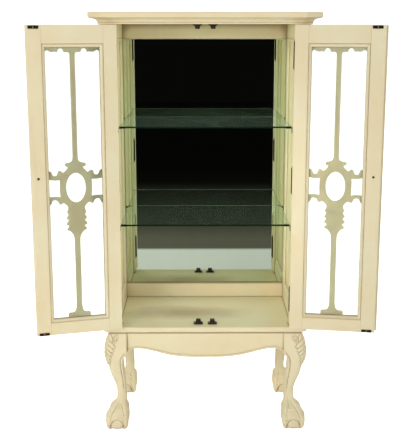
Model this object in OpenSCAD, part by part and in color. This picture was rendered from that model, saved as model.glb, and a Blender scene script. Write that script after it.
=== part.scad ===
// Display cabinet on four cabriole legs.
// Ivory painted case with canted front corners, a mirror back, two glass
// shelves and a pair of inset glazed doors with a pierced fret in front of
// the glass.  Millimetres, +Z up, floor at Z = 0, the front faces -Y.

/* [Overall] */
// Height from the floor to the top of the crown
total_h = 1524; // [1480:1:1600]
// Outside width of the case over its sides
case_w = 726; // [724:1:732]
// Depth of the case, from the front plane to the back
case_d = 406; // [400:1:420]
// Sideways run of the canted front corner
cant_w = 30.5; // [26:0.5:31]

/* [Base] */
// Height of the legs, up to the base board
leg_h = 379; // [379:1:384]
// Thickness of the base board
base_t = 23; // [20:1:26]
// Width of the square block at the top of each leg
leg_block = 64; // [62:1:64]
// How far the apron hangs down at its middle
apron_drop = 96; // [80:1:110]

/* [Crown] */
// Thickness of the top board
top_t = 19; // [17:1:22]
// Height of the moulding under the top board
moulding_h = 22; // [22:1:26]
// Overhang of the top board beyond the case
top_over = 38; // [36:1:42]

/* [Doors] */
// Clear width of the door opening
opening_w = 615; // [611:1:617]
// Thickness of a door
door_t = 21; // [21:1:22]
// Width of a door's free stile on the inner face
stile_w = 50; // [48:1:50]
// Width of a door's hinge stile on the inner face
hinge_stile_w = 46.5; // [45:0.5:50]
// Height of the top rail of a door
door_top_rail = 62; // [58:1:66]
// Height of the bottom rail of a door
door_bottom_rail = 45; // [42:1:48]
// How far the left door stands open
open_left = 164.5; // [0:0.5:176]
// How far the right door stands open
open_right = 171; // [0:0.5:176]

/* [Shelves] */
// Height of the upper shelf's top face above the floor
shelf_high = 1130; // [1080:1:1180]
// Height of the lower shelf's top face above the floor
shelf_low = 776; // [720:1:830]
// Thickness of the glass shelves
shelf_t = 6; // [5:0.5:8]
// Width of the glass shelves
shelf_w = 609; // [600:1:609]

/* [Hidden] */

cream = [0.90, 0.85, 0.70];
cream_shade = [0.86, 0.80, 0.64];
green_glass = [0.55, 0.70, 0.62, 0.35];
bronze = [0.16, 0.12, 0.09];
silver = [0.75, 0.78, 0.78];

// the front plane of the case lies here, so that the origin is under the
// middle of the whole object with its doors open
y_front = -160;

hw = case_w / 2;              // half the case width
straight = hw - cant_w;       // half width of the straight front
cant_y = cant_w * tan(30);    // how far back the canted corner reaches
base_top = leg_h + base_t;    // floor of the interior
case_top = total_h - top_t - moulding_h; // underside of the ceiling
ohw = opening_w / 2;          // half the door opening
post_d = 52;                  // depth of a front post
side_x = hw - 48;             // inner face of the side frames
side_rail_h = 58;
back_y = case_d - 29;         // front face of the back frame
mirror_y = back_y + 16;       // silvered face of the mirror

gap = 1.5;                    // clearance round the doors
door_w = ohw - 2 * gap;       // one leaf, with its share of the middle gap
door_z0 = base_top + 1;
door_z1 = case_top - 1.5;
lip = 12;                     // width of the rebate lip and of the stops
lip_t = 7;                    // thickness of the lip
pane_t = 4;
pin_y = -5;                   // hinge pin stands in front of the door face
pin_x = ohw - gap / 2;
pin_r = 1.55;
bore_r = 1.6;
knuckle_r = 4.5;
hinge_h = 90;
leaf_t = 1.4;
leaf_in = 0.9;                // depth of the leaf recess in the wood
leaf_w = 10;
hinge_z = [base_top + 106, (base_top + case_top) / 2 + 1, case_top - 104];

e = 0.5;                      // how far a cutting shape runs past a face

module from_front() { translate([0, y_front, 0]) children(); }

// case outline grown outwards by d, with canted front corners
function outline(d, back = 0) = let (t = tan(15), u = tan(30))
    [[-hw - d, case_d + back], [-hw - d, cant_y - d * u], [-straight - d * t, -d],
     [straight + d * t, -d], [hw + d, cant_y - d * u], [hw + d, case_d + back]];

/* ---------- crown ---------- */

// section of the crown moulding: x stands out from the case, y is height
function crown_section() = concat(
    [[0, 0], [5, 0], [6.2, 0.5], [6.8, 1.6], [6.8, 4.6], [6.2, 5.8], [5, 6.4],
     [5, 7.4], [8.5, 7.4]],
    [for (a = [0:15:90]) [8.5 + 24.5 * (1 - cos(a)), 9 + (moulding_h - 11) * sin(a)]],
    [[33, moulding_h], [0, moulding_h]]);

// a length of crown moulding from 0 to len along X, standing out to -Y, with
// its ends mitred by the angles m0 and m1
module crown_run(len, m0, m1) {
    difference() {
        translate([-60, 0, case_top]) rotate([90, 0, 90])
            linear_extrude(len + 120) mirror([1, 0]) polygon(crown_section());
        rotate([0, 0, -m0]) translate([-200, -100, case_top - 1])
            cube([200, 200, moulding_h + 2]);
        translate([len, 0, 0]) rotate([0, 0, m1]) translate([0, -100, case_top - 1])
            cube([200, 200, moulding_h + 2]);
    }
}

module top_board() {
    color(cream) from_front() translate([0, 0, total_h - top_t])
        linear_extrude(top_t) polygon(outline(top_over, 4));
}

module crown_front() {
    color(cream) from_front() translate([-straight, 0, 0])
        crown_run(2 * straight, 15, 15);
}

module crown_cants() {
    color(cream) from_front() for (s = [0, 1]) mirror([s, 0, 0])
        translate([straight, 0, 0]) rotate([0, 0, 30])
            crown_run(cant_w / cos(30), 15, 30);
}

module crown_sides() {
    color(cream) from_front() for (s = [0, 1]) mirror([s, 0, 0])
        translate([hw, cant_y, 0]) rotate([0, 0, 90])
            crown_run(case_d - cant_y, 30, 0);
}

module ceiling_board() {
    color(cream_shade) from_front() translate([0, 0, case_top])
        linear_extrude(moulding_h) polygon(outline(0));
}

/* ---------- case ---------- */

module front_post(s) {
    color(cream) from_front() mirror([s > 0 ? 0 : 1, 0, 0]) difference() {
        translate([0, 0, base_top]) linear_extrude(case_top - base_top)
            polygon([[ohw, 0], [straight, 0], [hw, cant_y], [hw, post_d], [ohw, post_d]]);
        for (z = hinge_z) translate([ohw - e, -e, z - hinge_h / 2])
            cube([leaf_in + e, leaf_w + e, hinge_h]);
    }
}
module front_post_left() { front_post(-1); }
module front_post_right() { front_post(1); }

glass_lap = 8;
// the space a side pane and its stops take in the side frame
module side_pocket(s) {
    mirror([s > 0 ? 0 : 1, 0, 0])
        translate([side_x - e, post_d - glass_lap, base_top + side_rail_h - glass_lap])
            cube([13 + e, case_d - 40 - post_d + 2 * glass_lap,
                  case_top - base_top - 2 * side_rail_h + 2 * glass_lap]);
}

module side_back_stile(s) {
    color(cream) from_front() difference() {
        mirror([s > 0 ? 0 : 1, 0, 0]) translate([side_x, case_d - 40, base_top])
            cube([48, 40, case_top - base_top]);
        mirror([s > 0 ? 0 : 1, 0, 0]) translate([side_x - e, mirror_y, base_top - e])
            cube([28 + e, case_d - mirror_y + e, case_top - base_top + 2 * e]);
        side_pocket(s);
    }
}
module side_back_stile_left() { side_back_stile(-1); }
module side_back_stile_right() { side_back_stile(1); }

module side_rail(s, z) {
    color(cream_shade) from_front() difference() {
        mirror([s > 0 ? 0 : 1, 0, 0]) translate([side_x, post_d, z])
            cube([48, case_d - 40 - post_d, side_rail_h]);
        side_pocket(s);
    }
}
module side_top_rail_left() { side_rail(-1, case_top - side_rail_h); }
module side_top_rail_right() { side_rail(1, case_top - side_rail_h); }
module side_bottom_rail_left() { side_rail(-1, base_top); }
module side_bottom_rail_right() { side_rail(1, base_top); }

module side_glass(s) {
    color(green_glass) from_front() mirror([s > 0 ? 0 : 1, 0, 0])
        translate([side_x + 9, post_d + 0.5, base_top + side_rail_h - glass_lap + 0.5])
            cube([pane_t, case_d - 40 - post_d + glass_lap - 1,
                  case_top - base_top - 2 * side_rail_h + 2 * glass_lap - 1]);
}
module side_glass_left() { side_glass(-1); }
module side_glass_right() { side_glass(1); }

// section of a glass stop: x runs from the frame to the sight edge, y from the
// glass to the face; it is a flat, a small quirk and a falling ovolo
function stop_section(w, t, r) = concat([[0, 0], [w, 0], [w, t - r]],
    [for (a = [15:15:75]) [w - r * (1 - cos(a)), t - r + (r - 1.2) * sin(a)]],
    [[w - r, t - 1.2], [w - r, t], [1.9, t], [1.5, t - 2.2], [0, t - 2.2]]);

// one mitred stop, standing along Z
module stop_strip(len, w, t, r) {
    difference() {
        linear_extrude(len) polygon(stop_section(w, t, r));
        translate([0, t + e, 0]) rotate([90, 0, 0]) linear_extrude(t + 2 * e)
            polygon([[-e, -e], [w + e, -e], [w + e, w + e]]);
        translate([0, t + e, 0]) rotate([90, 0, 0]) linear_extrude(t + 2 * e)
            polygon([[-e, len + e], [w + e, len + e], [w + e, len - w - e]]);
        for (z = [0, len]) translate([0, t + e, z]) rotate([90, 0, 0]) linear_extrude(1.8 + e)
            polygon([[-e, -e - 0.5], [-e, 0.5 - e], [0, 0.5], [w + e, w + e + 0.5], [w + e, -w - e - 0.5],
                     [0, -0.5]]);
    }
}

// four stops round an opening that is a wide (X) and b high (Z)
module stop_frame(a, b, w, t, r) {
    stop_strip(b, w, t, r);
    translate([a, 0, 0]) mirror([1, 0, 0]) stop_strip(b, w, t, r);
    rotate([0, 90, 0]) mirror([1, 0, 0]) stop_strip(a, w, t, r);
    translate([0, 0, b]) rotate([0, 90, 0]) stop_strip(a, w, t, r);
}

module side_glass_stops() {
    color(cream) from_front() for (s = [0, 1]) mirror([s, 0, 0])
        translate([side_x + 9, post_d, base_top + side_rail_h - glass_lap])
            rotate([0, 0, 90]) stop_frame(case_d - 40 - post_d + glass_lap,
                case_top - base_top - 2 * side_rail_h + 2 * glass_lap, 14, 9, 7);
}

/* ---------- back ---------- */

// a back rail with a bevelled sight edge, drawn lying along X with the bevel up
module back_rail(h) {
    translate([-side_x, 0, 0]) rotate([90, 0, 90]) linear_extrude(2 * side_x)
        polygon([[0, 0], [16, 0], [16, h], [9, h], [0, h - 5]]);
}
module back_frame_top_rail() {
    color(cream_shade) from_front() translate([0, back_y, case_top])
        mirror([0, 0, 1]) back_rail(56);
}
module back_frame_bottom_rail() {
    color(cream) from_front() translate([0, back_y, base_top]) back_rail(56);
}
module mirror_plate() {
    color(silver) from_front() translate([-333, mirror_y, base_top + 40])
        cube([666, 5, case_top - base_top - 80]);
}
module back_panel() {
    color(cream_shade) from_front() translate([-side_x - 27.5, mirror_y + 5, base_top])
        cube([2 * side_x + 55, 8, case_top - base_top]);
}

/* ---------- base ---------- */

// outline of the base board, grown outwards by d
function board_outline(d) = let (t = tan(15), u = tan(30))
    [[-hw - 8 - d, case_d], [-hw - 8 - d, -2 - d * u], [-hw + 3 - d * t, -11 - d],
     [hw - 3 + d * t, -11 - d], [hw + 8 + d, -2 - d * u], [hw + 8 + d, case_d]];
module base_board() {
    color(cream) from_front() {
        translate([0, 0, leg_h + 5]) linear_extrude(base_t - 5) polygon(board_outline(0));
        translate([0, 0, leg_h]) linear_extrude(5.01) polygon(board_outline(-9));
    }
}

block_in = hw - 11 - leg_block;   // inner face of the leg blocks

// lower edge of the front apron: lowest in the middle, rising to a peak
// beside each leg and dropping a little to meet it
function apron_edge(x) = let (a = abs(x), p = block_in - 38)
    a < p ? leg_h - apron_drop + (apron_drop - 62) * (0.5 - 0.5 * cos(180 * pow(a / p, 1.65)))
          : leg_h - 62 - 14 * pow((a - p) / 38, 2);

// lower edge of a side apron over its length
function side_edge(t) = leg_h - 62 - 18 * pow(sin(180 * t), 2) - 14 * pow(abs(2 * t - 1), 6);

module apron_front() {
    n = 48;
    color(cream) from_front() translate([0, 28, 0]) rotate([90, 0, 0])
        linear_extrude(18) polygon(concat(
            [[block_in, leg_h], [-block_in, leg_h]],
            [for (i = [0:n]) let (x = -block_in + 2 * block_in * i / n) [x, apron_edge(x)]]));
}

module side_apron(s) {
    n = 24;
    y0 = 8 + leg_block;
    y1 = case_d - 8 - leg_block;
    color(cream) from_front() mirror([s > 0 ? 0 : 1, 0, 0])
        translate([hw - 31, 0, 0]) rotate([90, 0, 90]) linear_extrude(18)
            polygon(concat([[y1, leg_h], [y0, leg_h]],
                [for (i = [0:n]) [y0 + (y1 - y0) * i / n, side_edge(i / n)]]));
}
module apron_left() { side_apron(-1); }
module apron_right() { side_apron(1); }

module apron_back() {
    color(cream) from_front() translate([-block_in, case_d - 28, leg_h - 66])
        cube([2 * block_in, 18, 66]);
}

// leg stations: height, inner and outer reach from the block's inner face,
// and how square the section is
leg_rings = [
    [0, 12, 75, 3], [6, 4, 81, 3.2], [15, 0, 84.5, 3.2], [28, -0.8, 84, 3.2],
    [38, -0.8, 84.5, 3.2], [50, -0.4, 78, 3], [62, 1, 73.6, 3], [72, -0.8, 70.4, 2.8],
    [83, 4.6, 59.5, 2.5], [94, 7.4, 49.4, 2.2], [105, 8.2, 44.4, 2.2], [116, 7, 42.4, 2.2],
    [130, 6.6, 42, 2.2], [145, 7, 43.6, 2.2], [161, 7.6, 47.2, 2.3], [180, 8.6, 53.2, 2.4],
    [197, 9.6, 59.6, 2.5], [220, 11.6, 66.6, 2.7], [236, 12.8, 69.2, 2.9],
    [252, 13.4, 72.6, 3.2], [268, 14.6, 76.9, 3.5], [280, 12.5, 80.3, 4],
    [292, 6, 82, 4.5], [302, 0, 82.8, 5], [330, 0, 80, 6],
    [355, 0, 74, 7], [370, 0, 67, 8], [379, 0, 64, 9]];
leg_sides = 16;

function spow(v, p) = v == 0 ? 0 : sign(v) * pow(abs(v), p);
// the back legs stand a little nearer the middle below their blocks
function tuck(z) = z < 252 ? 7 : z < 302 ? 7 * (302 - z) / 50 : 0;
function ring_point(r, k, in) = let (c = (r[1] + r[2]) / 2 - in * tuck(r[0]), h = (r[2] - r[1]) / 2,
    a = 360 * k / leg_sides, p = 2 / r[3], top = leg_rings[len(leg_rings) - 1][0])
    [c + h * spow(cos(a), p), -(c + h * spow(sin(a), p)),
     r[0] > 300 ? r[0] + (leg_h - top) * (r[0] - 300) / (top - 300) : r[0]];

// one leg; its inner block corner is at the origin, outwards is +X and -Y
module leg_shape(in) {
    n = leg_sides;
    m = len(leg_rings);
    polyhedron(
        points = [for (r = leg_rings) for (k = [0:n - 1]) ring_point(r, k, in)],
        faces = concat(
            [[for (k = [0:n - 1]) n - 1 - k]],
            [for (j = [0:m - 2]) for (k = [0:n - 1]) let (q = (k + 1) % n)
                [j * n + k, j * n + q, (j + 1) * n + q, (j + 1) * n + k]],
            [[for (k = [0:n - 1]) (m - 1) * n + k]]));
}

module leg(sx, back) {
    color(cream) from_front() mirror([sx > 0 ? 0 : 1, 0, 0])
        translate([block_in, back ? case_d - 8 - leg_block : 8 + leg_block, 0])
            mirror([0, back ? 1 : 0, 0]) leg_shape(back ? 1 : 0);
}
module leg_front_left() { leg(-1, false); }
module leg_front_right() { leg(1, false); }
module leg_back_left() { leg(-1, true); }
module leg_back_right() { leg(1, true); }

/* ---------- shelves, clips and catches ---------- */

shelf_front = 34;
module shelf(z) {
    color(green_glass) from_front()
        translate([-shelf_w / 2, shelf_front, z - shelf_t])
            cube([shelf_w, mirror_y - 1 - shelf_front, shelf_t]);
}
module shelf_upper() { shelf(shelf_high); }
module shelf_lower() { shelf(shelf_low); }

// angle clip screwed to a face at x; the ledge reaches inwards under the glass
module clip(x, y, z) {
    translate([x - 1.6, y, z - shelf_t - 18]) cube([1.6, 12, 18]);
    translate([x - 24, y, z - shelf_t - 1.6]) cube([24, 12, 1.6]);
}
module shelf_clips() {
    color(bronze) from_front() for (s = [0, 1]) mirror([s, 0, 0])
        for (z = [shelf_high, shelf_low]) {
            clip(ohw, shelf_front + 2, z);
            clip(side_x, mirror_y - 13, z);
        }
}

module catch() {
    rotate([90, 0, 0]) mirror([0, 0, 1]) linear_extrude(22)
        polygon([[0, 0], [33, 0], [33, 3], [29.5, 4.5], [26.5, 6.2], [25.2, 7.5], [24.8, 16],
                 [8.2, 16], [7.8, 7.5], [6.5, 6.2], [3.5, 4.5], [0, 3]]);
}
module magnetic_catches() {
    color(bronze) from_front() for (s = [0, 1]) mirror([s, 0, 0]) {
        translate([9.4, door_t + 2.2, base_top]) catch();
        translate([10.4, door_t + 2.2, case_top]) mirror([0, 0, 1]) catch();
    }
}

/* ---------- hinges ---------- */

// One leaf with its knuckles, drawn about the pin: the leaf lies on the +X
// side and runs back from the front plane.  own is 0 for the leaf with three
// knuckles and 1 for the leaf with two.
module hinge_leaf(own) {
    k = hinge_h / 5;
    difference() {
        union() {
            translate([0.25, -pin_y, -hinge_h / 2]) cube([leaf_t, leaf_w, hinge_h]);
            for (i = [own:2:4]) {
                z0 = -hinge_h / 2 + i * k + (i == 0 ? 0 : 0.2);
                z1 = -hinge_h / 2 + (i + 1) * k - (i == 4 ? 0 : 0.2);
                translate([0, 0, z0]) cylinder(r = knuckle_r, h = z1 - z0, $fn = 48);
                translate([0.25, 0, z0]) cube([leaf_t, 1 - pin_y, z1 - z0]);
            }
        }
        translate([0, 0, -hinge_h]) cylinder(r = bore_r, h = 2 * hinge_h, $fn = 48);
    }
}

module hinge_frame_leaves() {
    color(bronze) from_front() for (s = [0, 1]) mirror([s, 0, 0])
        for (z = hinge_z) translate([pin_x, pin_y, z]) hinge_leaf(0);
}

module hinge_pins() {
    color(bronze) from_front() for (s = [0, 1]) mirror([s, 0, 0])
        for (z = hinge_z) translate([pin_x, pin_y, z]) {
            translate([0, 0, -hinge_h / 2 - 0.4]) cylinder(r = pin_r, h = hinge_h + 0.8, $fn = 48);
            for (m = [0, 1]) mirror([0, 0, m]) translate([0, 0, hinge_h / 2 + 0.3]) {
                cylinder(r1 = 3.3, r2 = 2.6, h = 2, $fn = 48);
                translate([0, 0, 2]) cylinder(r1 = 2.6, r2 = 0.8, h = 6, $fn = 48);
            }
        }
}

/* ---------- doors ---------- */

// Places a door drawn closed: x from its hinge edge to its free edge, y from
// its outer face to its inner face, z above the floor
module hang(s, a) {
    from_front() translate([s * pin_x, pin_y, 0]) rotate([0, 0, s * a])
        mirror([s > 0 ? 1 : 0, 0, 0]) translate([gap / 2, -pin_y, 0]) children();
}
module hang_left() { hang(-1, open_left) children(); }
module hang_right() { hang(1, open_right) children(); }

door_h = door_z1 - door_z0;
sight_z0 = door_z0 + door_bottom_rail;
sight_z1 = door_z1 - door_top_rail;
knob_z = base_top + 564;
knob_x = door_w - stile_w / 2;
open_w = door_w - stile_w - hinge_stile_w;   // width between the two stiles

module hinge_stile() {
    difference() {
        union() {
            translate([0, 0, door_z0]) cube([hinge_stile_w, door_t, door_h]);
            translate([hinge_stile_w - 1, 0, sight_z0])
                cube([lip + 1, lip_t, sight_z1 - sight_z0]);
        }
        for (z = hinge_z) translate([-e, -e, z - hinge_h / 2])
            cube([leaf_in + e, leaf_w + e, hinge_h]);
    }
}

module free_stile() {
    difference() {
        union() {
            translate([door_w - stile_w, 0, door_z0]) cube([stile_w, door_t, door_h]);
            translate([door_w - stile_w - lip, 0, sight_z0])
                cube([lip + 1, lip_t, sight_z1 - sight_z0]);
        }
        translate([knob_x, -e, knob_z]) rotate([-90, 0, 0])
            cylinder(r = 2.5, h = door_t + 2 * e, $fn = 32);
    }
}

module door_rail_top() {
    translate([hinge_stile_w, 0, sight_z1]) cube([open_w, door_t, door_top_rail]);
    translate([hinge_stile_w + lip, 0, sight_z1 - lip]) cube([open_w - 2 * lip, lip_t, lip + 1]);
}

module door_rail_bottom() {
    translate([hinge_stile_w, 0, door_z0]) cube([open_w, door_t, door_bottom_rail]);
    translate([hinge_stile_w + lip, 0, sight_z0 - 1]) cube([open_w - 2 * lip, lip_t, lip + 1]);
}

module door_glass() {
    translate([hinge_stile_w + 0.5, lip_t, sight_z0 + 0.5])
        cube([open_w - 1, pane_t, sight_z1 - sight_z0 - 1]);
}

module door_stops() {
    translate([hinge_stile_w, lip_t + pane_t, sight_z0])
        stop_frame(open_w, sight_z1 - sight_z0, lip, door_t - lip_t - pane_t, 8.5);
}

/* the fret: x from the door's centre line, y up from the centre of the oval */

oval_z = base_top + 526;
fret_top = sight_z1 - lip - oval_z;
fret_bottom = sight_z0 + lip - oval_z;
fret_half = open_w / 2 - lip;

function ellipse_pts(a, b) = [for (t = [0:7.5:352.5]) [a * cos(t), b * sin(t)]];

// right half of the fret's outline, from the foot up to the valance
function round_part(x, y, r, a0, a1, n) =
    [for (i = [0:n]) let (a = a0 + (a1 - a0) * i / n) [x + r * cos(a), y + r * sin(a)]];
foot_side = [[39.5, 0], [40, 5], [39.8, 12], [38, 15.5], [33, 16.6], [25, 16.6],
             [19.5, 18], [14.8, 22], [12, 29], [10.6, 37], [10, 46]];
leaf_side = [[10, -188], [10.6, -178], [12.8, -170], [18.5, -160.5], [24.5, -153.5],
             [30, -151.5], [34.2, -149.5], [34.8, -146.2], [31, -142], [27.4, -137],
             [29.5, -133.5], [36, -130.5], [37, -127.4], [33, -122], [28.6, -116],
             [29.5, -112.5], [35, -110], [36.2, -107], [33, -102], [29.6, -97],
             [29.6, -93.5], [33.2, -89.5], [33.8, -86], [31.5, -80], [29, -74], [29.5, -68]];
lower_arm = [[31.5, -64.5], [37, -58.5], [42, -53.8], [47.5, -53.2], [51.5, -56.4],
             [54.8, -57.6], [58.5, -56.4], [61.6, -51.5], [63.6, -46], [69, -42.2],
             [76, -41.2], [81.5, -43], [84.5, -49], [87, -55], [90, -57.2],
             [fret_half, -57], [fret_half, -30.5], [86, -29.2], [72, -28.8], [62, -30],
             [54.5, -31.5]];
ring_side = [[55.6, -15], [56, 0], [55.8, 14], [55.2, 28.5]];
upper_arm = [[64, 28], [76, 28], [86, 29.5], [fret_half, 31.5], [fret_half, 60],
             [87.5, 60.6], [84, 59], [81.6, 54], [80, 48.5], [77.5, 44.4], [72.5, 43],
             [67.5, 44], [64, 47], [62.8, 51], [61.8, 56], [58.8, 60], [55.2, 61],
             [51, 60], [46.5, 56.5], [42.4, 53.6], [36, 59.5], [30, 65.5], [27, 70]];
valance_side = [[9, -26], [9.8, -21], [12.5, -17.8], [17, -16.6], [22, -16.8],
                [26.5, -17.2], [29.5, -15], [30.6, -11], [32.8, -7], [36, -4.8],
                [39.5, -4.2], [43, -4.8], [46.2, -7], [48.2, -11], [49.6, -15],
                [53, -16.6], [56.5, -15.2], [59.5, -14.4], [63, -15.6], [66.5, -16.4],
                [70.5, -15.4], [74, -15.8], [77.5, -13.5], [81, -11], [85, -10.4],
                [88.5, -12], [fret_half, -15], [fret_half, 0]];
fret_side = concat(
    [for (p = foot_side) [p[0], fret_bottom + p[1]]],
    leaf_side, lower_arm, ring_side, upper_arm,
    round_part(29.6, 80.6, 6.8, -112, 112, 11),
    [[21, 88.6], [15.5, 90.4], [11.6, 94.5], [9.6, 101], [9, 112]],
    [for (p = valance_side) [p[0], fret_top + p[1]]]);

module fret_outline() {
    n = len(fret_side);
    difference() {
        polygon(concat(fret_side, [for (i = [1:n]) [-fret_side[n - i][0], fret_side[n - i][1]]]));
        polygon(ellipse_pts(33.8, 51.7));
    }
}

module door_fret() {
    translate([hinge_stile_w + open_w / 2, lip_t, oval_z]) rotate([90, 0, 0])
        linear_extrude(5) fret_outline();
}

module door_knob() {
    translate([knob_x, 0, knob_z]) rotate([90, 0, 0]) difference() {
        rotate_extrude($fn = 48)
            polygon([[0, 0], [9, 0], [9, 1.5], [6.5, 3], [5.2, 6], [5.5, 9], [9, 12],
                     [13, 14.5], [14, 17], [13, 20], [9, 22.5], [4, 23.6], [0, 24]]);
        translate([0, 0, -e]) cylinder(r = 2.2, h = 14 + e, $fn = 32);
    }
}

module door_knob_screw() {
    translate([knob_x, 0, knob_z]) rotate([90, 0, 0]) {
        translate([0, 0, -door_t - 0.01]) cylinder(r = 2, h = door_t + 12, $fn = 32);
        translate([0, 0, -door_t - 2]) cylinder(r1 = 3, r2 = 4.2, h = 2, $fn = 32);
    }
}

// slotted plates, set in by a little from the free edge
module strike_plates(set_in) {
    for (z = [door_z0 + 0.5, door_z1 - 13]) translate([door_w - 43 - set_in, door_t, z])
        difference() {
            cube([35, 1.5, 10]);
            translate([16.2, -e, 2]) cube([2.6, 1.5 + 2 * e, 6]);
        }
}

module door_leaves() {
    for (z = hinge_z) translate([-gap / 2, pin_y, z]) hinge_leaf(1);
}

module left_door_hinge_stile() { color(cream) hang_left() hinge_stile(); }
module left_door_free_stile() { color(cream) hang_left() free_stile(); }
module left_door_top_rail() { color(cream) hang_left() door_rail_top(); }
module left_door_bottom_rail() { color(cream) hang_left() door_rail_bottom(); }
module left_door_glass() { color(green_glass) hang_left() door_glass(); }
module left_door_glass_stops() { color(cream) hang_left() door_stops(); }
module left_door_fretwork() { color(cream_shade) hang_left() door_fret(); }
module left_door_knob() { color(bronze) hang_left() door_knob(); }
module left_door_knob_screw() { color(bronze) hang_left() door_knob_screw(); }
module left_door_strike_plates() { color(bronze) hang_left() strike_plates(0); }
module left_door_hinge_leaves() { color(bronze) hang_left() door_leaves(); }

module right_door_hinge_stile() { color(cream) hang_right() hinge_stile(); }
module right_door_free_stile() { color(cream) hang_right() free_stile(); }
module right_door_top_rail() { color(cream) hang_right() door_rail_top(); }
module right_door_bottom_rail() { color(cream) hang_right() door_rail_bottom(); }
module right_door_glass() { color(green_glass) hang_right() door_glass(); }
module right_door_glass_stops() { color(cream) hang_right() door_stops(); }
module right_door_fretwork() { color(cream_shade) hang_right() door_fret(); }
module right_door_knob() { color(bronze) hang_right() door_knob(); }
module right_door_knob_screw() { color(bronze) hang_right() door_knob_screw(); }
module right_door_strike_plates() { color(bronze) hang_right() strike_plates(3); }
module right_door_hinge_leaves() { color(bronze) hang_right() door_leaves(); }

// cover strip on the right door's outer face; its overhang stands clear of the
// left door when both are shut
module right_door_astragal() {
    color(cream) hang_right() translate([door_w, 0, door_z0 + 2])
        linear_extrude(door_h - 4)
            polygon([[-13, 0], [0, 0], [0, -0.7], [7, -0.7], [7, -2.6], [5.4, -4.2],
                     [2, -5.6], [-3, -6.2], [-8, -5.6], [-11.4, -4.2], [-13, -2.6]]);
}

top_board();
crown_front();
crown_cants();
crown_sides();
ceiling_board();
front_post_left();
front_post_right();
side_back_stile_left();
side_back_stile_right();
side_top_rail_left();
side_top_rail_right();
side_bottom_rail_left();
side_bottom_rail_right();
side_glass_left();
side_glass_right();
side_glass_stops();
back_frame_top_rail();
back_frame_bottom_rail();
mirror_plate();
back_panel();
base_board();
apron_front();
apron_left();
apron_right();
apron_back();
leg_front_left();
leg_front_right();
leg_back_left();
leg_back_right();
shelf_upper();
shelf_lower();
shelf_clips();
magnetic_catches();
hinge_frame_leaves();
hinge_pins();
left_door_hinge_stile();
left_door_free_stile();
left_door_top_rail();
left_door_bottom_rail();
left_door_glass();
left_door_glass_stops();
left_door_fretwork();
left_door_knob();
left_door_knob_screw();
left_door_strike_plates();
left_door_hinge_leaves();
right_door_hinge_stile();
right_door_free_stile();
right_door_top_rail();
right_door_bottom_rail();
right_door_glass();
right_door_glass_stops();
right_door_fretwork();
right_door_knob();
right_door_knob_screw();
right_door_strike_plates();
right_door_hinge_leaves();
right_door_astragal();
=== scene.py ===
import math

import bmesh
import bpy
import numpy as np
from mathutils import Matrix, Vector


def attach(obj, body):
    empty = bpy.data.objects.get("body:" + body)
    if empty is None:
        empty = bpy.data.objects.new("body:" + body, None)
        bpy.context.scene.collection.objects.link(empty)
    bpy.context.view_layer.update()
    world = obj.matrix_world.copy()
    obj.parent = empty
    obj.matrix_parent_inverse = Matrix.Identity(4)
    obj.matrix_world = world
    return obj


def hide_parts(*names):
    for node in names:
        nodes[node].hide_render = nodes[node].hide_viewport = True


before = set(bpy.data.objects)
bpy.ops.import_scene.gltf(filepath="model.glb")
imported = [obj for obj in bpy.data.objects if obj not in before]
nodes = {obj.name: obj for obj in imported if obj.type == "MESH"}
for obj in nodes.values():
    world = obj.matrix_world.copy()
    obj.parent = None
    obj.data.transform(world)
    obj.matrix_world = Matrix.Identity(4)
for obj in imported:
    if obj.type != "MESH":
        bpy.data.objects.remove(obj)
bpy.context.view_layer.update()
scene = bpy.context.scene
coll = scene.collection

# ------------------------------------------------------------------ the frame's numbers, in metres
Y0 = -0.160                     # front plane of the case
PIN_X, PIN_Y = 0.30675, -0.005  # hinge pins, Y from the front plane
OPEN_L, OPEN_R = math.radians(164.5), math.radians(171.0)
GAP = 0.0015
DOOR_W = 0.3045
DOOR_T = 0.021
HINGE_Z = (0.508, 0.9435, 1.379)
BASE_TOP, CASE_TOP = 0.402, 1.483


def lin(c):
    c = c / 255.0
    return c / 12.92 if c <= 0.04045 else ((c + 0.055) / 1.055) ** 2.4


def rgb(r, g, b, a=1.0):
    """A colour given as 0 to 255 display values, as the shader wants it."""
    return (lin(r), lin(g), lin(b), a)


def door_point(side, x, y, z):
    """A point of a door drawn closed (x from the hinge edge, y from the outer face inwards), in the row frame."""
    s = -1 if side == "left" else 1
    a = s * (OPEN_L if side == "left" else OPEN_R)
    px, py = x + GAP / 2, y - PIN_Y
    if s > 0:
        px = -px
    c, n = math.cos(a), math.sin(a)
    return Vector((s * PIN_X + c * px - n * py, Y0 + PIN_Y + n * px + c * py, z))


def door_dir(side, x, y, z=0.0):
    return (door_point(side, x, y, z) - door_point(side, 0, 0, 0)).normalized()


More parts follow.
